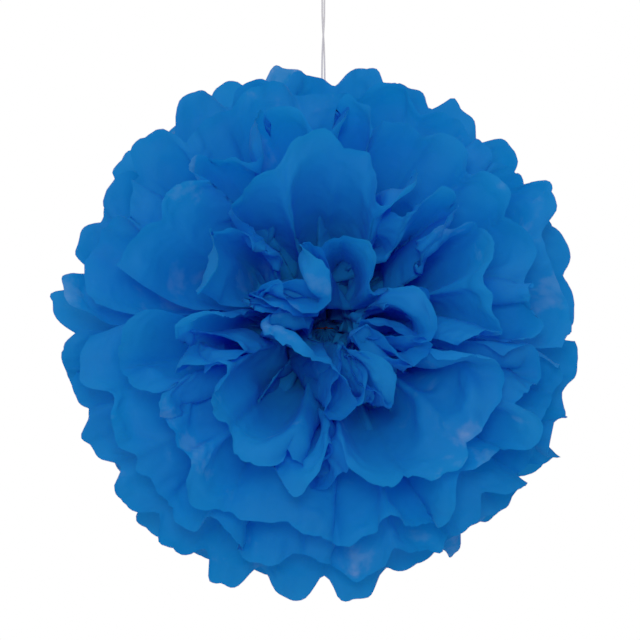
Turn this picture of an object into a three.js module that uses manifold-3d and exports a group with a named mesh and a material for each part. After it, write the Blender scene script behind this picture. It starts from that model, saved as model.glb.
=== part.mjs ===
// A hanging tissue paper pom pom.
//
// Ten sheets of tissue are stacked, pleated together into a narrow strip, rounded off at both
// ends and tied round the middle with wire. The pleats then fan out to both sides of the tie and
// the sheets are pulled apart one by one, which turns the flat fan into a ball of petals. A
// doubled thread is caught in the middle of the stack and crosses itself below a hanging loop.
//
// Units are millimetres and +Z is up. The origin is where a hook bears inside the top of the
// hanging loop. The ball is opened like a flower about the pole axis, which points to the front
// (-Y): sheet_01 stands round the front pole and sheet_10 round the back pole.

import * as THREE from "three";
import { mergeVertices } from "three/addons/utils/BufferGeometryUtils.js";
import Module from "manifold-3d";

const wasm = await Module();
wasm.setup();

// The sheets of tissue.
const SHEETS = 10;
const PLEATS = 14; // panels across each sheet, each of which ends in a petal
const PLEAT_WIDTH = 45;
const TIP = 194; // from the tie to the tip of a petal
const NOTCH = 181; // from the tie to the notch between two petals
const PAPER = 0.4; // thickness of the solid that stands for the tissue
const POLE_SPREAD = 0.5; // how the sheets share the ball: 0 by even angles, 1 by even areas
const CLEARANCE = 1.4; // degrees that a sheet keeps from the borders with its neighbours
const SWAY = 2; // scale, in degrees, of the borders' waviness
const TIP_VARIES = 6; // how far one petal's tip differs from the next
const CUP = 4; // how far the middle of a petal bellies out from its folds
const SHOULDER = 0.28; // where a petal's shoulders stand, as a fraction of its width
const BUNCHING = 0.75; // how unevenly the pleats of the sheets at the poles open: 0 is even
const SLACK = 0.12; // the same for the sheets at the ball's widest

// The ball as a whole.
const BALL_Z = -268; // centre of the ball below the hanging point
const YAW = 5; // degrees that the front pole turns towards +X
const TWIST = 12; // degrees that the front sheets turn one way and the back sheets the other

// The neck, where the pleats are gathered by the tie.
const NECK_RADIUS = 8.8;
const NECK_SHEET = 1.0; // thickness of one gathered sheet
const NECK_PITCH = 1.4; // from one gathered sheet to the next
const NECK_MIDDLE = 4.1; // between the two middle sheets, where the thread lies
const NECK_LOW = 3.5; // half height of the neck at its front and back faces
const NECK_CROWN = 4.5; // how much higher its middle sheets reach
const SEAM = 1; // half of the gap between the upper and the lower fan
const SEAM_FADE = 40; // distance from the tie over which the neck opens into the fans

// The wire tie.
const WIRE_RADIUS = 0.5;
const TIE_RADIUS = 9.8;
const TAIL_LENGTH = 16;
const TAIL_TURNS = 3;

const THREAD_RADIUS = 0.65;

const RINGS = [14, 150]; // distances from the tie of the grid lines round each fan
const PETAL_COLUMNS = 3; // a grid line at each fold and one at each shoulder of a petal
const COLUMNS = PETAL_COLUMNS * PLEATS;

const radians = THREE.MathUtils.degToRad;
const smooth = THREE.MathUtils.smoothstep;
const lerp = THREE.MathUtils.lerp;

// The same value between -1 and 1 each time for the same sheet, fold and purpose.
function vary(sheet, fold, purpose) {
  const seed = Math.sin(sheet * 12.9898 + fold * 78.233 + purpose * 37.719) * 43758.5453;
  return 2 * (seed - Math.floor(seed)) - 1;
}

// The mean polar angle of the border between two sheets, sheet and the one before it.
function meanBorderOf(sheet) {
  const evenAngles = (Math.PI * sheet) / SHEETS;
  const evenAreas = Math.acos(1 - (2 * sheet) / SHEETS);
  return lerp(evenAngles, evenAreas, POLE_SPREAD);
}

// The polar angle of a sheet's middle, and how far it can sway from there to either side.
const polarAngleOf = (sheet) => (meanBorderOf(sheet) + meanBorderOf(sheet + 1)) / 2;
const bandOf = (sheet) =>
  (meanBorderOf(sheet + 1) - meanBorderOf(sheet)) / 2 - radians(CLEARANCE);

// A smooth wavy line round the ball. Each term is [waves in a turn, size].
function wave(angle, seed, terms) {
  return terms.reduce(
    (sum, [waves, size], n) => sum + size * Math.sin(waves * angle + Math.PI * vary(seed, n, 21)),
    0,
  );
}

// The polar angle of the same border in the direction angle round the pole axis. Both sheets
// follow it, so that they can sway and bulge without meeting. The middle border is straight at
// the top, where the thread runs up through it.
function borderOf(sheet, angle) {
  const shared = wave(angle, 77, [[2, 0.9], [3, 1.0], [5, 0.8], [7, 0.6]]);
  const own = wave(angle, sheet + 31, [[3, 1.1], [5, 1.0], [8, 1.0], [11, 0.8]]);
  const room = Math.sqrt(Math.max(Math.sin((Math.PI * sheet) / SHEETS), 0));
  const fromTop = Math.abs(Math.sin(angle / 2));
  const freedom = sheet === SHEETS / 2 ? smooth(fromTop, 0.04, 0.25) : 1;
  return meanBorderOf(sheet) + radians(SWAY * room * freedom * (0.9 * shared + 1.1 * own));
}

// How one fan of a sheet is opened: for each fold its angle round the pole axis, and how far it
// leans from the middle of the sheet's band. side is 1 for the upper fan, -1 for the lower one.
function openedFolds(sheet, side) {
  const polar = polarAngleOf(sheet);
  const band = bandOf(sheet);
  const unevenness = lerp(BUNCHING, SLACK, Math.sin(polar));
  const shares = Array.from({ length: PLEATS }, (_, panel) =>
    Math.exp(unevenness * 1.6 * vary(sheet, panel, side + 2)),
  );
  const total = shares.reduce((sum, share) => sum + share, 0);
  const opening = shares.map((share) => (Math.PI * share) / total);
  const depth = opening.map((angle) => {
    const advance = NOTCH * Math.sin(polar) * angle;
    return Math.sqrt(Math.max(PLEAT_WIDTH ** 2 - advance ** 2, 0)) / NOTCH;
  });
  let fan = -Math.PI / 2;
  const folds = [];
  for (let fold = 0; fold <= PLEATS; fold++) {
    const before = depth[fold - 1] ?? depth[fold];
    const after = depth[fold] ?? before;
    const swing = Math.min((before + after) / 4, band - radians(1));
    const room = band - swing;
    const lean = (fold % 2 ? swing : -swing) + 0.8 * room * vary(sheet, fold, side);
    folds.push({ fan, lean });
    fan += opening[fold] ?? 0;
  }
  return folds;
}

// Where a sheet sits in the neck: its place front to back, half its width and half its height.
function neckOf(sheet) {
  const fromMiddle = sheet - (SHEETS - 1) / 2;
  const y = Math.sign(fromMiddle) * (NECK_MIDDLE / 2 + (Math.abs(fromMiddle) - 0.5) * NECK_PITCH);
  const outerFace = Math.abs(y) + NECK_SHEET / 2;
  return {
    y,
    halfWidth: Math.sqrt(NECK_RADIUS ** 2 - outerFace ** 2),
    halfHeight: NECK_LOW + NECK_CROWN * Math.sin((Math.PI * (sheet + 0.5)) / SHEETS),
  };
}

// The fold a column follows, and how far it stands from there towards the next fold.
function placeOf(column) {
  const fold = Math.floor(column / PETAL_COLUMNS);
  const across = [0, SHOULDER, 1 - SHOULDER][column % PETAL_COLUMNS];
  return { fold, across };
}

// The point of a sheet's middle surface at a column and a distance from the tie.
function sheetPoint(sheet, side, folds, column, distance) {
  const { fold, across } = placeOf(column);
  const from = folds[fold];
  const to = folds[fold + 1] ?? from;
  const evenAcross = (fold + across) / PLEATS;
  const evenFan = Math.PI * (evenAcross - 0.5);
  const spread = smooth(distance, RINGS[0], 120);
  const fan = lerp(evenFan, lerp(from.fan, to.fan, across), spread);
  const belly = across > 0 ? (CUP / NOTCH) * Math.sign(vary(sheet, fold, 9)) : 0;
  const open = smooth(distance, 0, SEAM_FADE);
  const turn = radians(TWIST) * Math.cos(polarAngleOf(sheet)) * open;
  const angle = (side > 0 ? fan : Math.PI - fan) + turn;
  const before = borderOf(sheet, angle);
  const after = borderOf(sheet + 1, angle);
  const room = Math.max((after - before) / 2 - radians(CLEARANCE), 0);
  const lean = (lerp(from.lean, to.lean, across) + belly) / bandOf(sheet);
  const polar = (before + after) / 2 + room * THREE.MathUtils.clamp(lean, -1, 1);

  const neck = neckOf(sheet);
  const height = lerp(neck.halfHeight, SEAM + (neck.halfHeight - SEAM) * Math.cos(fan), open);
  const base = new THREE.Vector3(
    neck.halfWidth * lerp(2 * evenAcross - 1, Math.sin(fan), open),
    neck.y,
    side * height,
  );
  const direction = new THREE.Vector3(
    Math.sin(polar) * Math.sin(fan),
    -Math.cos(polar),
    side * Math.sin(polar) * Math.cos(fan),
  );
  const point = base.addScaledVector(direction, distance);
  return point.applyAxisAngle(new THREE.Vector3(0, 1, 0), turn);
}

// How far from the tie a column ends: short at a fold, long at the shoulders of a petal.
function rimDistance(sheet, side, column) {
  const { across } = placeOf(column);
  return across > 0 ? TIP + TIP_VARIES * vary(sheet, column, side + 5) : NOTCH;
}

// The middle surface of a whole sheet as rows of points, from the upper rim through the neck to
// the lower rim.
function sheetRows(sheet) {
  const columns = Array.from({ length: COLUMNS + 1 }, (_, i) => i);
  const fan = (side) => {
    const folds = openedFolds(sheet, side);
    const row = (distanceOf) =>
      columns.map((c) => sheetPoint(sheet, side, folds, c, distanceOf(c)));
    return [
      row(() => 0),
      ...RINGS.map((distance) => row(() => distance)),
      row((c) => rimDistance(sheet, side, c)),
    ];
  };
  return [...fan(1).reverse(), ...fan(-1)];
}

// The normal of the middle surface at each grid point. Its length is 1 where the paper is flat
// and grows at a sharp fold, so that both panels keep their thickness up to the fold.
function gridNormals(rows, flatRows) {
  const LONGEST = 2.5;
  const last = rows.length - 1;
  const cellNormal = (r, c) => {
    const diagonal = rows[r + 1][c + 1].clone().sub(rows[r][c]);
    const other = rows[r][c + 1].clone().sub(rows[r + 1][c]);
    return diagonal.cross(other).normalize();
  };
  return rows.map((row, r) =>
    row.map((_, c) => {
      const sum = new THREE.Vector3();
      let count = 0;
      for (const i of [r - 1, r])
        for (const j of [c - 1, c])
          if (i >= 0 && i < last && j >= 0 && j < COLUMNS) {
            sum.add(cellNormal(i, j));
            count += 1;
          }
      if (flatRows.includes(r)) return new THREE.Vector3(0, Math.sign(sum.y), 0);
      const evenness = sum.length() / count;
      return sum.normalize().multiplyScalar(Math.min(1 / evenness, LONGEST));
    }),
  );
}

// A closed solid from rows of points. The rows in the neck are flat and pressed thick.
function thickened(rows, neckRows) {
  const normals = gridNormals(rows, neckRows);
  const thicknessOf = (r) => (neckRows.includes(r) ? NECK_SHEET : PAPER);
  const wide = rows[0].length;
  const tall = rows.length;
  const positions = [];
  for (const face of [1, -1])
    rows.forEach((row, r) =>
      row.forEach((point, c) => {
        const offset = normals[r][c].clone().multiplyScalar((face * thicknessOf(r)) / 2);
        positions.push(...point.clone().add(offset).toArray());
      }),
    );
  const front = (r, c) => r * wide + c;
  const back = (r, c) => wide * tall + front(r, c);
  const index = [];
  const quad = (a, b, c, d) => index.push(a, b, c, a, c, d);
  for (let r = 0; r < tall - 1; r++) {
    for (let c = 0; c < wide - 1; c++) {
      quad(front(r, c), front(r + 1, c), front(r + 1, c + 1), front(r, c + 1));
      quad(back(r, c), back(r, c + 1), back(r + 1, c + 1), back(r + 1, c));
    }
    quad(front(r, 0), back(r, 0), back(r + 1, 0), front(r + 1, 0));
    quad(front(r + 1, wide - 1), back(r + 1, wide - 1), back(r, wide - 1), front(r, wide - 1));
  }
  for (let c = 0; c < wide - 1; c++) {
    quad(front(0, c + 1), back(0, c + 1), back(0, c), front(0, c));
    quad(front(tall - 1, c), back(tall - 1, c), back(tall - 1, c + 1), front(tall - 1, c + 1));
  }
  const geometry = new THREE.BufferGeometry();
  geometry.setAttribute("position", new THREE.Float32BufferAttribute(positions, 3));
  geometry.setIndex(index);
  return geometry;
}

function sheetGeometry(sheet) {
  const rows = sheetRows(sheet);
  const neckRows = [rows.length / 2 - 1, rows.length / 2];
  return thickened(rows, neckRows);
}

// A three.js geometry as a manifold-3d solid.
function solidOf(geometry) {
  const bare = geometry.clone();
  for (const name of Object.keys(bare.attributes))
    if (name !== "position") bare.deleteAttribute(name);
  const merged = mergeVertices(bare, 1e-4);
  return new wasm.Manifold(
    new wasm.Mesh({
      numProp: 3,
      vertProperties: merged.attributes.position.array,
      triVerts: new Uint32Array(merged.index.array),
    }),
  );
}

function geometryOf(solid) {
  const mesh = solid.getMesh();
  const geometry = new THREE.BufferGeometry();
  geometry.setAttribute("position", new THREE.BufferAttribute(mesh.vertProperties, 3));
  geometry.setIndex(new THREE.BufferAttribute(mesh.triVerts, 1));
  return geometry;
}

// A round bar along a curve. The steps follow the curve's own points, so that a tight bend gets
// as many as a long straight.
function roundBar(curve, radius, sides, steps) {
  curve.getUtoTmapping = (u) => u;
  const corners = Array.from({ length: sides }, (_, i) => {
    const angle = (2 * Math.PI * i) / sides;
    return new THREE.Vector2(radius * Math.cos(angle), radius * Math.sin(angle));
  });
  return new THREE.ExtrudeGeometry(new THREE.Shape(corners), { steps, extrudePath: curve });
}

// One of the two wire ends that are twisted together into the tail, pointing to the front. They
// lie a little under the wire's thickness apart, so that the two are one solid.
class TwistedEnd extends THREE.Curve {
  constructor(start) {
    super();
    this.start = start;
  }

  getPoint(t, target = new THREE.Vector3()) {
    const angle = this.start + 2 * Math.PI * TAIL_TURNS * t;
    const lay = 0.85 * WIRE_RADIUS;
    return target.set(
      lay * Math.cos(angle),
      -TIE_RADIUS - TAIL_LENGTH * t,
      lay * Math.sin(angle),
    );
  }
}

function tieGeometry() {
  const SIDES = 6;
  const steps = 6 * TAIL_TURNS;
  const ring = solidOf(new THREE.TorusGeometry(TIE_RADIUS, WIRE_RADIUS, SIDES, 28));
  const ends = [0, Math.PI].map((start) =>
    solidOf(roundBar(new TwistedEnd(start), WIRE_RADIUS, SIDES, steps)),
  );
  return geometryOf(ring.add(ends[0]).add(ends[1]));
}

// The thread's centreline: up from the middle of the neck, across itself, round the loop and
// back down beside itself. The second strand is the first one turned half round +Z.
function threadRoute() {
  const strand = [
    [1.15, 0, BALL_Z + 1],
    [1.15, 0, -240],
    [1.15, 0, -160],
    [1.1, 0, -85],
    [0.8, 0.25, -62],
    [0.45, 0.65, -53],
    [0, 0.8, -46],
    [-0.45, 0.65, -39],
    [-0.8, 0.2, -30],
    [-0.85, 0, -20],
    [-1.3, 0, -14],
    [-2.7, 0, -9.6],
    [-3.9, 0, -5.6],
    [-3.6, 0, -2],
    [-2.1, 0, 0.1],
  ];
  const up = strand.map(([x, y, z]) => new THREE.Vector3(x, y, z));
  const down = strand.map(([x, y, z]) => new THREE.Vector3(-x, -y, z)).reverse();
  return [...up, new THREE.Vector3(0, 0, THREAD_RADIUS), ...down];
}

function threadGeometry() {
  const route = threadRoute();
  const curve = new THREE.CatmullRomCurve3(route, false, "centripetal");
  return roundBar(curve, THREAD_RADIUS, 8, 2 * (route.length - 1));
}

const tissue = new THREE.MeshStandardMaterial({ color: 0x0062ad, roughness: 0.7 });
const wire = new THREE.MeshStandardMaterial({ color: 0x8a5a44, roughness: 0.4, metalness: 0.9 });
const thread = new THREE.MeshStandardMaterial({ color: 0xe9e4e6, roughness: 0.6 });

function named(name, geometry, material) {
  const mesh = new THREE.Mesh(geometry, material);
  mesh.name = name;
  return mesh;
}

// The ball is turned as one about its centre; the thread hangs plumb.
const ball = new THREE.Group();
ball.position.z = BALL_Z;
ball.rotation.z = radians(YAW);
for (let sheet = 0; sheet < SHEETS; sheet++) {
  const number = String(sheet + 1).padStart(2, "0");
  ball.add(named(`sheet_${number}`, sheetGeometry(sheet), tissue));
}
ball.add(named("wire_tie", tieGeometry(), wire));

const pomPom = new THREE.Group();
pomPom.add(ball);
pomPom.add(named("hanging_thread", threadGeometry(), thread));

export default pomPom;
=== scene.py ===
# A hanging tissue paper pom pom: ten pleated sheets, a wire tie and a doubled thread.
import math
import bpy
import numpy as np
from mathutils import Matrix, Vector


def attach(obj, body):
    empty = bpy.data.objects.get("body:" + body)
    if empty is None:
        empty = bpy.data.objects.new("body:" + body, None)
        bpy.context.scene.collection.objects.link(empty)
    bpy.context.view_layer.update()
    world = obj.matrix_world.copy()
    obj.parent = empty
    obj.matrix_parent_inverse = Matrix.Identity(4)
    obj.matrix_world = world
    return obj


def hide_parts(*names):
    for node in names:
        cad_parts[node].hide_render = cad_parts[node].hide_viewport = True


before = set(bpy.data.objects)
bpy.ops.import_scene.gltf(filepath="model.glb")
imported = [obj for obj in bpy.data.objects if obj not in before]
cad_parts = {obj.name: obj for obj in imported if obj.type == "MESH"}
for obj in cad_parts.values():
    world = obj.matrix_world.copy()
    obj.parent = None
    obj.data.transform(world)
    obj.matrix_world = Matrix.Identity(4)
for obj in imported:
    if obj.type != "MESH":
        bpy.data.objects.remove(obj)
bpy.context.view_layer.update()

# ---------------------------------------------------------------- sizes
# BALL is in metres. The other lengths named in capitals are in mm until MM turns them into metres,
# and the angles are in degrees until rad turns them into radians.
MM = 0.001
BALL = Vector((0, 0, -0.268))
SHEETS, PLEATS = 10, 14         # PLEATS counts the panels of one fan, and each ends in a petal
PLEAT = 45.0                    # width of one panel
TIP, NOTCH = 191.0, 181.0       # mean reach of a petal's tip, and reach of the notch beside it
POLE_SPREAD = 0.5               # how the sheets share the ball: 0 by even angles, 1 by even areas
CLEARANCE = 1.4                 # what a sheet's folds keep from the borders with its neighbours
YAW = 5.0                       # turn of the front pole towards +X
TWIST = 12.0                    # turn of the sheets round the pole axis, opposite at the two poles
PER_PANEL, ROWS = 4, 20         # grid of a fan while it settles
COLS = PER_PANEL * PLEATS + 1
FINER = 4                       # steps of the fine grid between two settled points
SETTLING_ROUNDS = 250

rad = math.radians


def vary(sheet, fold, purpose):
    """The same value between -1 and 1 each time for a sheet, fold and purpose."""
    seed = np.sin(sheet * 12.9898 + fold * 78.233 + purpose * 37.719) * 43758.5453
    return 2 * (seed - np.floor(seed)) - 1


def smooth(x, a, b):
    """0 up to a, 1 from b on, and a smooth step between them."""
    t = np.clip((x - a) / (b - a), 0, 1)
    return t * t * (3 - 2 * t)


# ---------------------------------------------------------------- camera
def make_camera():
    """A long lens a little below the ball's centre, with a view a little wider than the ball."""
    target = BALL + Vector((-0.0025, 0, 0.0065))
    elevation, distance, view_width, sensor = rad(-2.0), 1.8, 0.482, 36
    data = bpy.data.cameras.new("camera")
    data.lens = sensor * distance / view_width
    data.clip_end = 50
    camera = bpy.data.objects.new("camera", data)
    bpy.context.collection.objects.link(camera)
    camera.location = target + distance * Vector((0, -math.cos(elevation), math.sin(elevation)))
    camera.rotation_euler = (target - camera.location).to_track_quat("-Z", "Y").to_euler()
    bpy.context.scene.camera = camera


make_camera()


# ---------------------------------------------------------------- materials
def node_material(name):
    """A new material with one shader in it. Gives it, its nodes, its links and the shader."""
    mat = bpy.data.materials.new(name)
    mat.use_nodes = True
    nodes, links = mat.node_tree.nodes, mat.node_tree.links
    nodes.clear()
    out = nodes.new("ShaderNodeOutputMaterial")
    bsdf = nodes.new("ShaderNodeBsdfPrincipled")
    links.new(bsdf.outputs["BSDF"], out.inputs["Surface"])
    return mat, nodes, links, bsdf


def noise(nodes, links, coord, scale, detail, rough, distortion=0.0):
    tex = nodes.new("ShaderNodeTexNoise")
    tex.inputs["Scale"].default_value = scale
    tex.inputs["Detail"].default_value = detail
    tex.inputs["Roughness"].default_value = rough
    tex.inputs["Distortion"].default_value = distortion
    links.new(coord, tex.inputs["Vector"])
    return tex.outputs["Fac"]


def ramp(nodes, links, fac, stops):
    """Colours along a value. Each stop is its position and its colour."""
    node = nodes.new("ShaderNodeValToRGB")
    while len(node.color_ramp.elements) < len(stops):
        node.color_ramp.elements.new(0.5)
    for element, (position, color) in zip(node.color_ramp.elements, stops):
        element.position = position
        element.color = (*color, 1)
    links.new(fac, node.inputs["Fac"])
    return node.outputs["Color"]


def tissue_material():
    """Blue tissue with glossier patches whose paler, lavender colour is painted sheen, and a fine crinkle,
    which lets light through.
    """
    mat, nodes, links, bsdf = node_material("tissue_blue")
    coord = nodes.new("ShaderNodeTexCoord").outputs["Object"]
    cloud = noise(nodes, links, coord, 11, 4, 0.65)
    # This noise marks patches that get a lower roughness and a paler, lavender colour. That colour is
    # painted sheen; below 0.60 the blue only varies at random.
    gloss_and_painted_sheen = noise(nodes, links, coord, 14, 5, 0.62, 0.3)
    color = ramp(nodes, links, gloss_and_painted_sheen, [(0.3, (0.0001, 0.190, 0.765)), (0.60, (0.0002, 0.228, 0.835)),
                                       (0.66, (0.035, 0.290, 0.880))])
    links.new(color, bsdf.inputs["Base Color"])
    rough = ramp(nodes, links, gloss_and_painted_sheen, [(0.57, (0.80,) * 3), (0.64, (0.36,) * 3)])
    links.new(rough, bsdf.inputs["Roughness"])
    bsdf.inputs["Specular IOR Level"].default_value = 0.2

    crinkle = noise(nodes, links, coord, 260, 4, 0.6, 0.4)
    bump = nodes.new("ShaderNodeBump")
    bump.inputs["Strength"].default_value = 0.35
    bump.inputs["Distance"].default_value = 0.0008
    links.new(crinkle, bump.inputs["Height"])
    links.new(bump.outputs["Normal"], bsdf.inputs["Normal"])

    glow = nodes.new("ShaderNodeBsdfTranslucent")
    through = ramp(nodes, links, cloud, [(0.3, (0.0003, 0.195, 0.780)), (0.7, (0.0010, 0.236, 0.865))])
    links.new(through, glow.inputs["Color"])
    mix = nodes.new("ShaderNodeMixShader")
    mix.inputs["Fac"].default_value = 0.5
    links.new(bsdf.outputs["BSDF"], mix.inputs[1])
    links.new(glow.outputs["BSDF"], mix.inputs[2])
    out = next(node for node in nodes if node.type == "OUTPUT_MATERIAL")
    links.new(mix.outputs["Shader"], out.inputs["Surface"])
    return mat


def thread_material():
    mat, nodes, links, bsdf = node_material("pale_thread")
    coord = nodes.new("ShaderNodeTexCoord").outputs["Object"]
    fuzz = noise(nodes, links, coord, 900, 3, 0.6)
    color = ramp(nodes, links, fuzz, [(0.3, (0.72, 0.68, 0.72)), (0.7, (0.90, 0.87, 0.90))])
    links.new(color, bsdf.inputs["Base Color"])
    bsdf.inputs["Roughness"].default_value = 0.6
    return mat


def wire_material():
    mat, nodes, links, bsdf = node_material("tie_wire")
    coord = nodes.new("ShaderNodeTexCoord").outputs["Object"]
    wear = noise(nodes, links, coord, 400, 3, 0.6)
    color = ramp(nodes, links, wear, [(0.35, (0.20, 0.045, 0.03)), (0.7, (0.30, 0.10, 0.06))])
    links.new(color, bsdf.inputs["Base Color"])
    bsdf.inputs["Roughness"].default_value = 0.4
    bsdf.inputs["Metallic"].default_value = 0.6
    return mat


TISSUE, THREAD, WIRE = tissue_material(), thread_material(), wire_material()


# ---------------------------------------------------------------- the thread
# One strand, from the stack up to the hanging loop. The other is its mirror image.
STRAND = [(1.15, 0, -267), (1.15, 0, -240), (1.15, 0, -160), (1.1, 0, -85), (0.8, 0.25, -62),
          (0.45, 0.65, -53), (0, 0.8, -46), (-0.45, 0.65, -39), (-0.8, 0.2, -30), (-0.85, 0, -20),
          (-1.3, 0, -14), (-2.7, 0, -9.6), (-3.9, 0, -5.6), (-3.6, 0, -2), (-2.1, 0, 0.1)]
ROUTE = STRAND + [(0, 0, 0.65)] + [(-x, -y, z) for x, y, z in reversed(STRAND)]
THREAD_DIAMETER = 1.3


def smooth_path(points, steps):
    """A smooth curve through the points, with so many steps from each to the next."""
    p = np.array(points, float)
    p = np.vstack([2 * p[0] - p[1], p, 2 * p[-1] - p[-2]])
    out = []
    for i in range(1, len(p) - 2):
        a, b, c, d = p[i - 1:i + 3]
        ta = 0
        tb = np.linalg.norm(b - a) ** 0.5
        tc = tb + np.linalg.norm(c - b) ** 0.5
        td = tc + np.linalg.norm(d - c) ** 0.5
        for t in np.linspace(tb, tc, steps, endpoint=False):
            ab = a * (tb - t) / (tb - ta) + b * (t - ta) / (tb - ta)
            bc = b * (tc - t) / (tc - tb) + c * (t - tb) / (tc - tb)
            cd = c * (td - t) / (td - tc) + d * (t - tc) / (td - tc)
            abc = ab * (tc - t) / (tc - ta) + bc * (t - ta) / (tc - ta)
            bcd = bc * (td - t) / (td - tb) + cd * (t - tb) / (td - tb)
            out.append(abc * (tc - t) / (tc - tb) + bcd * (t - tb) / (tc - tb))
    out.append(p[-2])
    return np.array(out)


def make_thread():
    path = smooth_path(ROUTE, 6) * MM
    curve = bpy.data.curves.new("thread", "CURVE")
    curve.dimensions = "3D"
    curve.bevel_depth = THREAD_DIAMETER / 2 * MM
    curve.bevel_resolution = 3
    spline = curve.splines.new("POLY")
    spline.points.add(len(path) - 1)
    spline.points.foreach_set("co", np.column_stack([path, np.ones(len(path))]).ravel())
    curve.materials.append(THREAD)
    obj = bpy.data.objects.new("hanging_thread_fine", curve)
    bpy.context.collection.objects.link(obj)
    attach(obj, "root")
    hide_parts("hanging_thread")


make_thread()


# ---------------------------------------------------------------- where each sheet stands
SWAY = 2.0                      # scale of the waves in the borders
BORDER_WAVES = [(2, 0.9), (3, 1.0), (5, 0.8), (7, 0.6)]         # shared by all borders
OWN_WAVES = [(3, 1.1), (5, 1.0), (8, 1.0), (11, 0.8)]           # different in each border
NECK_RADIUS = 8.8               # of the stack where it is gathered in the tie
NECK_SHEET = 1.0                # thickness of a gathered sheet
NECK_PITCH = 1.4                # from one gathered sheet to the next
NECK_MIDDLE = 4.1               # between the two middle ones, where the thread lies
NECK_LOW, NECK_CROWN = 3.5, 4.5     # half its height at the poles, and how much the middle adds
SLIT_STEP = 2.4                 # how far up or down a sheet's slit between its fans is stepped


def border_angle(index):
    """Mean polar angle, in radians, of the border that sheets index - 1 and index share."""
    even, by_area = math.pi * index / SHEETS, math.acos(1 - 2 * index / SHEETS)
    return even + POLE_SPREAD * (by_area - even)


# Each sheet's own polar angle, and how far its folds can lean from it, in radians.
POLAR = np.array([(border_angle(k) + border_angle(k + 1)) / 2 for k in range(SHEETS)])
BAND = np.array([(border_angle(k + 1) - border_angle(k)) / 2 - rad(CLEARANCE) for k in range(SHEETS)])


def wave(angle, seed, terms):
    """A smooth wavy line round the pole axis. Each term is its waves in a turn and its size."""
    total = 0
    for n, (waves, size) in enumerate(terms):
        phase = math.pi * vary(seed, n, 21)
        total = total + size * np.sin(waves * angle + phase)
    return total


def border(index, angle):
    """Polar angle, in radians, of a border at an angle round the pole axis."""
    shared = wave(angle, 77, BORDER_WAVES)
    own = wave(angle, index + 31, OWN_WAVES)
    room = math.sin(math.pi * index / SHEETS) ** 0.5
    if index == SHEETS // 2:            # straight where the thread runs up through it
        room = room * smooth(np.abs(np.sin(angle / 2)), 0.04, 0.25)
    return border_angle(index) + rad(SWAY) * room * (0.9 * shared + 1.1 * own)


def neck_of(sheet):
    """Where a sheet passes the tie, how wide it is there to each side, and half its height."""
    from_middle = sheet - (SHEETS - 1) / 2
    y = math.copysign(NECK_MIDDLE / 2 + (abs(from_middle) - 0.5) * NECK_PITCH, from_middle)
    half_width = math.sqrt(NECK_RADIUS ** 2 - (abs(y) + NECK_SHEET / 2) ** 2)
    return y, half_width, NECK_LOW + NECK_CROWN * math.sin(math.pi * (sheet + 0.5) / SHEETS)


def profile_of(reach):
    """How far a sheet has turned from the stack's plane towards its own polar angle."""
    return 0.55 + 0.45 * smooth(reach, 0, 150)


def step_of(sheet, reach):
    """How far the slit between the two fans is stepped up or down, so that none shows through."""
    step = np.where(sheet % 2, SLIT_STEP, -SLIT_STEP)
    return step * smooth(reach, 4, 14) * (1 - smooth(reach, 40, 110))


def twisted(points, turn):
    """The points turned round the pole axis."""
    x = points[..., 0] * np.cos(turn) + points[..., 2] * np.sin(turn)
    z = -points[..., 0] * np.sin(turn) + points[..., 2] * np.cos(turn)
    return np.stack([x, points[..., 1], z], -1)


# ---------------------------------------------------------------- the fans as they are pulled out
BUNCHED_POLE, BUNCHED_EQUATOR = 0.75, 0.12      # how unevenly the pleats open at each
PETAL_VARIETY = 11              # how much longer or shorter than the mean a petal can be
PETAL_SKEW = 0.9                # how lopsided one can be
DRAWN_BACK = 46                 # how far a folded-up panel at a pole draws back from the surface
BELLY = 8.0                     # how far the middle of a panel bulges
NEST = 15                       # how deep the folds are pressed into each other near the tie
TIE_END = 2                     # from the tie to the first row of points


def opened_folds(sheet, side):
    """Each fold's angle round the pole axis and its lean from the sheet's place, in radians."""
    polar, band = POLAR[sheet], BAND[sheet]
    uneven = BUNCHED_POLE + (BUNCHED_EQUATOR - BUNCHED_POLE) * math.sin(polar)
    contrast = 3.0 + 2.5 * (1 - math.sin(polar))
    shares = np.exp(uneven * contrast * vary(sheet, np.arange(PLEATS), side + 2))
    opening = math.pi * shares / shares.sum()
    depth = np.sqrt(np.maximum(PLEAT ** 2 - (NOTCH * math.sin(polar) * opening) ** 2, 0)) / NOTCH
    before = np.concatenate([depth[:1], depth])
    after = np.concatenate([depth, depth[-1:]])
    swing = np.minimum((before + after) / 4, band - rad(1))
    folds = np.arange(PLEATS + 1)
    lean = np.where(folds % 2, swing, -swing) + 0.8 * (band - swing) * vary(sheet, folds, side)
    fan = -math.pi / 2 + np.concatenate([[0], np.cumsum(opening)])
    return fan, lean


def rim_of(sheet, side, u, opening):
    """The reach of a fan's edge. u counts panels, and opening is the angle that each one takes."""
    panels = np.arange(PLEATS)
    panel = np.minimum(u.astype(int), PLEATS - 1)
    a = u - panel
    flatness = opening * NOTCH * math.sin(POLAR[sheet]) / PLEAT
    near_pole = (1 - math.sin(POLAR[sheet])) ** 0.5
    drawn_back = DRAWN_BACK * np.clip(1 - 2.2 * flatness, 0, 1) * near_pole
    tip = TIP + PETAL_VARIETY * vary(sheet, panels, side + 5)
    skew = PETAL_SKEW * vary(sheet, panels, side + 6)
    bell = np.clip(4 * a * (1 - a) * (1 + skew[panel] * (a - 0.5)), 0, 1)
    return NOTCH + (tip[panel] - NOTCH) * bell ** 0.5 - np.interp(u, panels + 0.5, drawn_back)


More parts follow.
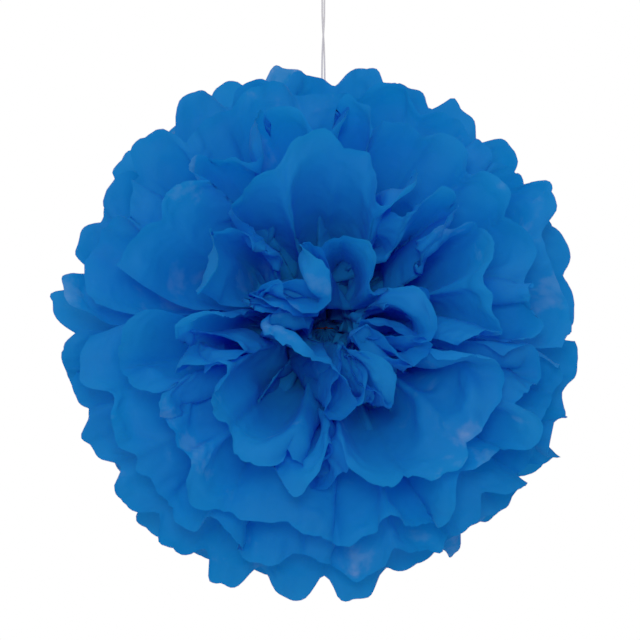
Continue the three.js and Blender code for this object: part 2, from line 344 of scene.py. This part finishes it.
def fan_start(sheet, side):
    """One fan as it is pulled out of the stack, before the paper finds its own shape.

    Gives the points, ROWS + 1 by COLS in the ball's own frame, and each point's distance from the
    tie along the flat sheet, both in mm. side is 1 for the upper fan and -1 for the lower one."""
    fold_fan, fold_lean = opened_folds(sheet, side)
    u = np.linspace(0, PLEATS, COLS)
    panel = np.minimum(u.astype(int), PLEATS - 1)
    a = u - panel                       # from 0 at a panel's first fold to 1 at its last
    rim = rim_of(sheet, side, u, np.diff(fold_fan))
    v = np.linspace(0, 1, ROWS + 1)[:, None] ** 0.9
    reach = TIE_END + v * (rim[None, :] - TIE_END)

    even = np.pi * (u / PLEATS - 0.5)[None, :]
    irregular = (fold_fan[panel] * (1 - a) + fold_fan[panel + 1] * a)[None, :]
    spread = smooth(reach, 14, 120)
    fan = even * (1 - spread) + irregular * spread

    lean = (fold_lean[panel] * (1 - a) + fold_lean[panel + 1] * a)[None, :]
    belly = (BELLY / NOTCH) * np.sign(vary(sheet, panel, 9)) * (4 * a * (1 - a))
    belly = belly[None, :] * smooth(reach, 60, 180)
    leaning = np.clip(lean + belly, -BAND[sheet], BAND[sheet])
    zigzag = np.where(panel % 2, 1 - 2 * a, 2 * a - 1)[None, :]
    nest = NEST * smooth(reach, 4, 30) * (1 - smooth(reach, 60, 140)) / np.maximum(reach, 10) * zigzag
    polar = np.pi / 2 + (POLAR[sheet] + leaning - np.pi / 2) * profile_of(reach)
    polar = polar + nest

    y, half_width, half_height = neck_of(sheet)
    opened = smooth(reach, 0, 40)
    height = 1 + (half_height - 1) * np.cos(fan)
    x = half_width * ((2 * u / PLEATS - 1)[None, :] * (1 - opened) + np.sin(fan) * opened)
    rise = side * (height + reach * np.sin(polar) * np.cos(fan))
    points = np.stack([x + reach * np.sin(polar) * np.sin(fan),
                       y - reach * np.cos(polar),
                       rise + step_of(sheet, reach)], -1)
    return twisted(points, rad(TWIST) * math.cos(POLAR[sheet]) * opened), reach


# ---------------------------------------------------------------- how the paper settles
ALL = slice(None)
HELD = 30                       # nearer to the tie than this, the paper stays where it is
FOLD_GAPS = [(1, 5.0), (2, 8.0), (3, 9.0)]      # least width of a fold, so many cells down its sides
BORDER_GAP = 0.9                # what settled paper keeps from a border
STRAY = 14                      # how far past a border the paper near the tie may be
SEAM_WAVE, SEAM_GAP = 5, 1.2    # of the seam between the two fans


class Paper:
    """All the fans at once, as points with links that are pulled until the paper has its shape.

    It keeps its lengths, resists bending and stays between its neighbours. points is
    (fans, rows, columns, 3), and reach is each point's distance from the tie on the flat sheet."""

    def __init__(self, points, reach):
        self.points = points.copy()
        self.reach = reach
        across = np.broadcast_to(np.arange(COLS) * PLEAT / PER_PANEL, reach.shape)
        self.flat = np.stack([across, reach], -1)
        self.crush = 0.35 + 0.65 * smooth(reach, 5, 45)     # the stack is crushed flat in the tie
        self.free = (reach > HELD).astype(float)[..., None]
        self.sheet = np.repeat(np.arange(SHEETS), 2)[:, None, None]
        self.side = np.tile([1, -1], SHEETS)[:, None, None]
        self.neck = np.array([neck_of(k)[0] for k in range(SHEETS)]).repeat(2)[:, None, None]

    def link(self, a, b, stiffness, crushed=True):
        """Links from the points a to the points b, as long as they are on the flat sheet."""
        rest = np.linalg.norm(self.flat[b] - self.flat[a], axis=-1)
        if crushed:
            rest = rest * np.minimum(self.crush[a], self.crush[b])
        free_a, free_b = self.free[a], self.free[b]
        share = stiffness / np.maximum(free_a + free_b, 1e-9)
        return a, b, rest, free_a * share, free_b * share

    def stretch_links(self):
        """Links that keep the paper's lengths. Those of one set share no point."""
        across, along, shear = [], [], []
        for p in (0, 1):
            columns = np.arange(p, COLS - 1, 2)
            across.append(self.link((ALL, ALL, columns), (ALL, ALL, columns + 1), 1.0))
            rows = np.arange(p, ROWS, 2)
            along.append(self.link((ALL, rows), (ALL, rows + 1), 1.0, False))
            for q in (0, 1):
                r, c = np.meshgrid(rows, np.arange(q, COLS - 1, 2), indexing="ij")
                shear.append(self.link((ALL, r, c), (ALL, r + 1, c + 1), 0.35))
                shear.append(self.link((ALL, r, c + 1), (ALL, r + 1, c), 0.35))
        return shear + across + along

    def bend_links(self):
        """Links over two cells, which keep a panel from bending. None crosses a fold."""
        across, along = [], []
        for p in range(4):
            columns = np.arange(p, COLS - 2, 4)
            columns = columns[(columns + 1) % PER_PANEL != 0]
            across.append(self.link((ALL, ALL, columns), (ALL, ALL, columns + 2), 0.30))
            rows = np.arange(p, ROWS - 1, 4)
            along.append(self.link((ALL, rows), (ALL, rows + 2), 0.25, False))
        return across + along

    def fold_links(self):
        """Links between the two sides of each fold, which keep it from closing flat."""
        folds = np.arange(PER_PANEL, COLS - 1, PER_PANEL)
        opened = smooth(self.reach[(ALL, ALL, folds)], 20, 90)
        links = []
        for cells, gap in FOLD_GAPS:
            a, b, _, share_a, share_b = self.link((ALL, ALL, folds - cells), (ALL, ALL, folds + cells), 0.5)
            links.append((a, b, gap * opened, share_a, share_b))
        return links

    def pull(self, link, push_only=False):
        """Moves the two ends of each link towards its rest length."""
        a, b, rest, share_a, share_b = link
        d = self.points[b] - self.points[a]
        length = np.sqrt((d * d).sum(-1))
        excess = (length - rest) / np.maximum(length, 1e-6)
        if push_only:
            excess = np.minimum(excess, 0)
        d *= excess[..., None]
        self.points[a] += share_a * d
        self.points[b] -= share_b * d

    def keep_between_neighbours(self):
        """Moves points that are past their sheet's borders most of the way back."""
        v = self.points.copy()
        v[..., 1] -= self.neck
        off_axis = np.hypot(v[..., 0], v[..., 2])
        distance = np.hypot(off_axis, v[..., 1])
        polar = np.arctan2(off_axis, -v[..., 1])
        angle = np.arctan2(v[..., 0], v[..., 2])
        low, high = np.empty_like(polar), np.empty_like(polar)
        for k in range(SHEETS):
            fans = slice(2 * k, 2 * k + 2)
            low[fans] = border(k, angle[fans]) + rad(BORDER_GAP)
            high[fans] = border(k + 1, angle[fans]) - rad(BORDER_GAP)
        profile = profile_of(self.reach)
        slack = rad(1) * (STRAY * (1 - smooth(self.reach, 40, 120)))
        low = np.pi / 2 + (low - np.pi / 2) * profile - slack
        high = np.pi / 2 + (high - np.pi / 2) * profile + slack
        wanted = np.clip(polar, low, high)
        moving = (wanted != polar)[..., None] * self.free
        scale = distance * np.sin(wanted) / np.maximum(off_axis, 1e-6)
        y = -distance * np.cos(wanted) + self.neck
        target = np.stack([v[..., 0] * scale, y, v[..., 2] * scale], -1)
        self.points += moving * 0.6 * (target - self.points)

    def keep_fans_apart(self):
        """Keeps the upper and the lower fan to their own sides of a wavy seam."""
        turn = rad(TWIST) * np.cos(POLAR)[self.sheet] * smooth(self.reach, 0, 40)
        q = twisted(self.points, -turn)
        seam = SEAM_WAVE * np.sin(q[..., 0] / 23 + q[..., 1] / 31) * smooth(self.reach, 40, 120)
        seam = seam + step_of(self.sheet, self.reach)
        over = np.maximum(SEAM_GAP + self.side * seam - self.side * q[..., 2], 0) * self.free[..., 0]
        q[..., 2] += self.side * over
        self.points[...] = twisted(q, turn)

    def settled(self):
        """The points after all the rounds."""
        firm, folds = self.bend_links() + self.stretch_links(), self.fold_links()
        for i in range(SETTLING_ROUNDS):
            for link in firm:
                self.pull(link)
            for link in folds:
                self.pull(link, push_only=True)
            if i % 2 == 1:
                self.keep_between_neighbours()
                self.keep_fans_apart()
        return self.points


# ---------------------------------------------------------------- crinkles
JOLT = 5.0                      # how much the fans are shaken before they settle
LIP, LIP_WIDTH = 5.5, 28        # how far the petals' edges curl to a side, and from how deep
RIDGE, RIDGE_WIDTH = 2.1, 4.5   # of the pressed line along each fold
CORNER, CORNER_WIDTH = 7.5, 0.24        # tallest pointed corner, and half its width in panels

rng = np.random.RandomState(7)


def stepped(grid, count):
    """count rows that run smoothly from each row of a coarse grid to the next."""
    x = np.linspace(0, len(grid) - 1, count)
    i = np.minimum(x.astype(int), len(grid) - 2)
    w = x - i
    w = (w * w * (3 - 2 * w)).reshape(-1, *[1] * (grid.ndim - 1))
    return grid[i] * (1 - w) + grid[i + 1] * w


def smooth_noise(shape, cells, size):
    """Smooth random values on a grid, about as many bumps each way as cells."""
    coarse = rng.normal(0, 1, (cells[0] + 1, cells[1] + 1, *shape[2:]))
    rows = stepped(coarse, shape[0])
    columns = stepped(np.swapaxes(rows, 0, 1), shape[1])
    return np.swapaxes(columns, 0, 1) * size


def rounded(grid, steps):
    """Smooth curves through the rows of a grid, with so many steps from each to the next."""
    pad = np.concatenate([2 * grid[:1] - grid[1:2], grid, 2 * grid[-1:] - grid[-2:-1]])
    out = []
    for step in range(steps):
        x = step / steps
        w = [-0.5 * x + x * x - 0.5 * x ** 3, 1 - 2.5 * x * x + 1.5 * x ** 3,
             0.5 * x + 2 * x * x - 1.5 * x ** 3, -0.5 * x * x + 0.5 * x ** 3]
        out.append(w[0] * pad[:-3] + w[1] * pad[1:-2] + w[2] * pad[2:-1] + w[3] * pad[3:])
    full = np.stack(out, 1).reshape(-1, *grid.shape[1:])
    return np.concatenate([full, grid[-1:]])


def refined(grid):
    """A finer grid through the same points."""
    rows = rounded(grid, FINER)
    return rounded(rows.transpose(1, 0, 2), FINER).transpose(1, 0, 2)


def unit(vectors):
    return vectors / np.maximum(np.linalg.norm(vectors, axis=-1, keepdims=True), 1e-9)


def turned_lips(u, depth):
    """How far each petal's edge curls to a side. depth is the distance in from the edge."""
    curl = rng.normal(0.15, 1.0, PLEATS + 1)
    curl = np.clip(curl * (1 + 0.25 * curl ** 2), -3, 3)
    curl = np.interp(u + 0.5 * rng.uniform(-1, 1), np.arange(PLEATS + 1), curl)
    return LIP * curl[None, :] * (1 - smooth(depth, 0, LIP_WIDTH)) ** 2


def pressed_folds(u):
    """A line along each fold of the pleats, raised on one fold and sunk on the next."""
    nearest = np.round(u)
    beside = smooth(np.abs(u - nearest) * PLEAT, 0, RIDGE_WIDTH)
    return np.where(nearest % 2, RIDGE, -RIDGE) * (1 - beside)


def crumples(shape, depth):
    """Soft dents, creases, fine wrinkles and long streaks, all strongest at the edge."""
    soft = smooth_noise(shape, (9, 56), 0.8)
    creases = np.abs(smooth_noise(shape, (22, 100), 1.0)) * 0.9
    fine = np.abs(smooth_noise(shape, (46, 190), 1.0)) * 0.20
    streaks = np.abs(smooth_noise(shape, (4, 150), 1.0)) * 0.6
    return (soft - creases - fine - streaks) * (0.45 + 0.75 * (1 - smooth(depth, 0, 45)))


def ragged_edge(u):
    """How much more or less paper there is along the edge, with some pointed corners."""
    corners = np.zeros(len(u))
    for panel in range(PLEATS):
        place = panel + 0.5 + rng.choice([-0.3, 0.3])
        height = CORNER * max(rng.uniform(-1.4, 1), 0)
        corners += height * np.maximum(1 - np.abs(u - place) / CORNER_WIDTH, 0)
    edge = (1, len(u))
    return corners[None, :] + smooth_noise(edge, (1, 110), 0.3) + smooth_noise(edge, (1, 40), 0.9)


def crinkled(fan, reach):
    """A fine grid of a settled fan, with the paper's own crinkles and turned lips."""
    grid = refined(fan)
    reach = refined(reach[..., None])[..., 0]
    depth = reach[-1:] - reach
    u = np.linspace(0, PLEATS, grid.shape[1])
    relief = turned_lips(u, depth) + pressed_folds(u) + crumples(grid.shape[:2], depth)
    outward = np.gradient(grid, axis=0)
    normal = unit(np.cross(np.gradient(grid, axis=1), outward))
    longer = ragged_edge(u) * (1 - smooth(depth, 0, 14))
    grid = grid + unit(outward) * longer[..., None]
    return grid + normal * (relief * smooth(reach, 30, 70))[..., None]


# ---------------------------------------------------------------- the sheets
def to_world(points):
    """From the ball's own frame in mm to the scene in metres."""
    c, s = math.cos(rad(YAW)), math.sin(rad(YAW))
    x = points[..., 0] * c - points[..., 1] * s
    y = points[..., 0] * s + points[..., 1] * c
    return np.stack([x, y, points[..., 2]], -1) * MM + np.array(BALL)


def clear_of_thread(grid, sheet):
    """Moves the points beside the thread to their sheet's own side of it. grid is in metres."""
    channel, pitch, slope, bottom = 2.2, 0.9, 1.5, -265
    middle = SHEETS // 2
    away, rank = (-1, middle - 1 - sheet) if sheet < middle else (1, sheet - middle)
    x, y, z = (grid[..., i] / MM for i in range(3))
    least = channel + pitch * rank - slope * np.maximum(np.abs(x) - channel, 0)
    moved = away * np.maximum(away * y, least)
    grid[..., 1] = np.where(z > bottom, moved, y) * MM
    return grid


def quad_mesh(name, vertices, quads):
    mesh = bpy.data.meshes.new(name)
    mesh.vertices.add(len(vertices))
    mesh.vertices.foreach_set("co", vertices.ravel())
    mesh.loops.add(quads.size)
    mesh.loops.foreach_set("vertex_index", quads.ravel().astype(np.int32))
    mesh.polygons.add(len(quads))
    mesh.polygons.foreach_set("loop_start", np.arange(0, quads.size, 4, dtype=np.int32))
    mesh.polygons.foreach_set("loop_total", np.full(len(quads), 4, dtype=np.int32))
    mesh.update(calc_edges=True)
    mesh.shade_smooth()
    return mesh


def make_sheet(sheet, upper, lower):
    """One sheet of tissue, from the grids of its two fans, joined along their rows at the tie."""
    i = np.arange(upper.shape[0] * upper.shape[1]).reshape(upper.shape[:2])
    quads = np.stack([i[:-1, :-1], i[1:, :-1], i[1:, 1:], i[:-1, 1:]], -1).reshape(-1, 4)
    above, below = i[0], i[0] + i.size
    joint = np.stack([above[:-1], above[1:], below[1:], below[:-1]], -1)
    vertices = np.concatenate([upper.reshape(-1, 3), lower.reshape(-1, 3)])
    quads = np.concatenate([quads, quads[:, ::-1] + i.size, joint])
    mesh = quad_mesh(f"tissue_{sheet + 1:02d}", vertices, quads)
    mesh.materials.append(TISSUE)
    obj = bpy.data.objects.new(f"tissue_sheet_{sheet + 1:02d}", mesh)
    bpy.context.collection.objects.link(obj)
    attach(obj, "root")
    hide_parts(f"sheet_{sheet + 1:02d}")


def make_sheets():
    """Pulls out all the fans, jolts them, lets them settle, and makes a sheet of each pair."""
    starts = [fan_start(k, side) for k in range(SHEETS) for side in (1, -1)]
    points = np.stack([p for p, _ in starts])
    reach = np.stack([r for _, r in starts])
    jolt = np.stack([smooth_noise((ROWS + 1, COLS, 3), (6, 22), JOLT) for _ in starts])
    paper = Paper(points + jolt * smooth(reach, 40, 130)[..., None], reach)
    settled = paper.settled()
    for k in range(SHEETS):
        fans = [to_world(crinkled(settled[n], reach[n])) for n in (2 * k, 2 * k + 1)]
        make_sheet(k, *[clear_of_thread(fan, k) for fan in fans])


make_sheets()

# ---------------------------------------------------------------- the tie
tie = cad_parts["wire_tie"]
tie.data.materials.clear()
tie.data.materials.append(WIRE)


# ---------------------------------------------------------------- stage and light
def make_stage():
    """A round pale floor below the ball."""
    radius, z, corners = 2.4, BALL.z - 0.62, 96
    angles = np.linspace(0, 2 * math.pi, corners, False)
    rim = [(radius * math.cos(a), radius * math.sin(a), z) for a in angles]
    mesh = bpy.data.meshes.new("floor")
    mesh.from_pydata(rim, [], [tuple(range(corners))])
    mat, _, _, bsdf = node_material("pale_floor")
    bsdf.inputs["Base Color"].default_value = (0.66, 0.66, 0.66, 1)
    bsdf.inputs["Roughness"].default_value = 0.8
    bsdf.inputs["Emission Color"].default_value = (1, 1, 1, 1)
    bsdf.inputs["Emission Strength"].default_value = 0.08
    mesh.materials.append(mat)
    floor = bpy.data.objects.new("floor", mesh)
    bpy.context.collection.objects.link(floor)


def area_light(name, place, size, power):
    """A square light that faces the ball."""
    data = bpy.data.lights.new(name, "AREA")
    data.shape = "SQUARE"
    data.size = size
    data.energy = power
    obj = bpy.data.objects.new(name, data)
    bpy.context.collection.objects.link(obj)
    obj.location = place
    obj.rotation_euler = (BALL - Vector(place)).to_track_quat("-Z", "Y").to_euler()


def make_world(backdrop, ambient):
    """A white backdrop that lights the room less than it shows."""
    world = bpy.data.worlds.new("studio")
    world.use_nodes = True
    nodes, links = world.node_tree.nodes, world.node_tree.links
    base = nodes["Background"]
    base.inputs["Color"].default_value = (1, 1, 1, 1)
    base.inputs["Strength"].default_value = ambient
    seen = nodes.new("ShaderNodeBackground")
    seen.inputs["Color"].default_value = (1, 1, 1, 1)
    seen.inputs["Strength"].default_value = backdrop
    path = nodes.new("ShaderNodeLightPath")
    mix = nodes.new("ShaderNodeMixShader")
    links.new(path.outputs["Is Camera Ray"], mix.inputs[0])
    links.new(base.outputs[0], mix.inputs[1])
    links.new(seen.outputs[0], mix.inputs[2])
    links.new(mix.outputs[0], nodes["World Output"].inputs["Surface"])
    bpy.context.scene.world = world


make_stage()
area_light("front", (-0.05, -2.0, 0.0), 0.4, 8.4)
area_light("key", (-0.6, -1.9, 1.0), 0.9, 4.0)
area_light("top", (0, -0.3, 1.2), 1.2, 3.4)
area_light("back", (0.5, 2.2, 0.5), 1.2, 4.3)
make_world(backdrop=1.0, ambient=0.25)
bpy.context.scene.view_settings.view_transform = "Standard"
bpy.context.scene.view_settings.gamma = 1.5
